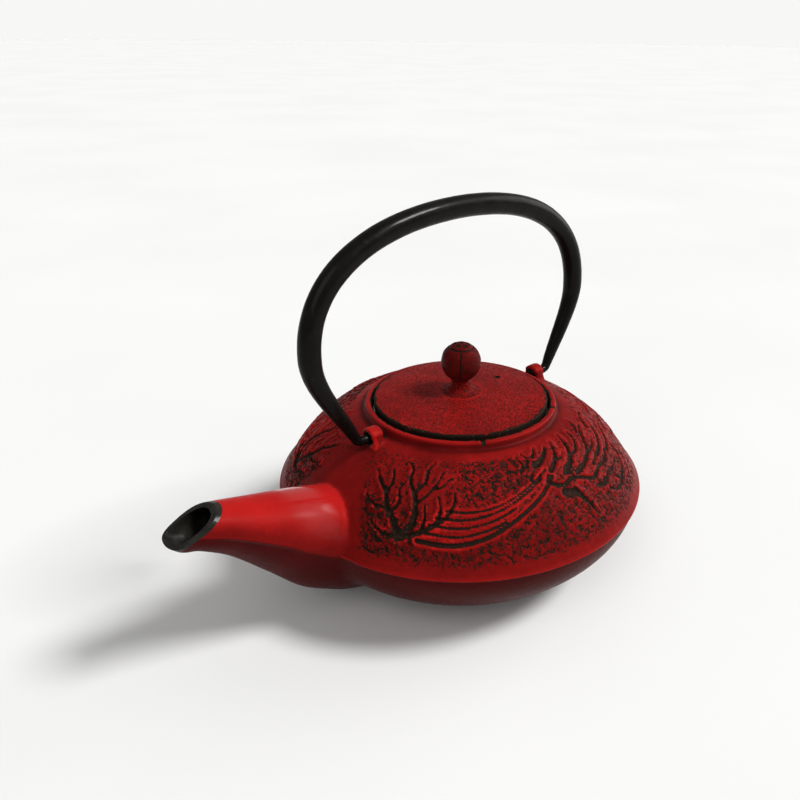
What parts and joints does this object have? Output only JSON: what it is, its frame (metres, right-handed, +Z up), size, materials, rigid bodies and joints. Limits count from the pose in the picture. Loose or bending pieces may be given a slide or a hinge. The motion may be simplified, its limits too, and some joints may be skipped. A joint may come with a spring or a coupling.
{
  "type": "cast iron teapot",
  "caption": "Low round iron teapot with a wide pouring spout, a lift-off lid with a ball knob, a folding bail handle and a lift-out infuser basket.",
  "frame": {"origin": "centre of the foot ring, on the plane that the teapot stands on", "axes": "+Z up; the spout points along -X; the bail turns about a line parallel to X; -Y is the side that carries the main relief"},
  "size_m": [0.2217, 0.1662, 0.1619],
  "materials": {
    "red_iron": "red paint, semi-gloss, rubbed dark in the recesses",
    "black_iron": "black paint, satin",
    "steel_sheet": "pressed stainless sheet",
    "steel_mesh": "fine stainless mesh",
    "rivet_steel": "plain steel"
  },
  "bodies": {
    "pot": {"pot_body": "red_iron"},
    "infuser": {"strainer_rim": "steel_sheet", "strainer_wall": "steel_mesh", "strainer_floor": "steel_mesh", "strainer_band": "steel_sheet"},
    "lid": {"lid": "red_iron", "lid_knob": "red_iron", "knob_rivet": "rivet_steel", "knob_washer": "rivet_steel"},
    "handle": {"bail_handle": "black_iron"}
  },
  "joints": [
    {"name": "bail_hinge", "type": "hinge", "parent": "pot", "child": "handle", "pos_m": [0, 0, 0.0728], "axis": [1, 0, 0], "range_deg": [-103, 107]},
    {"name": "infuser_lift", "type": "slide", "parent": "pot", "child": "infuser", "axis": [0, 0, 1], "range_m": [0, 0.048]},
    {"name": "lid_lift", "type": "slide", "parent": "infuser", "child": "lid", "axis": [0, 0, 1], "range_m": [0, 0.045]}
  ]
}
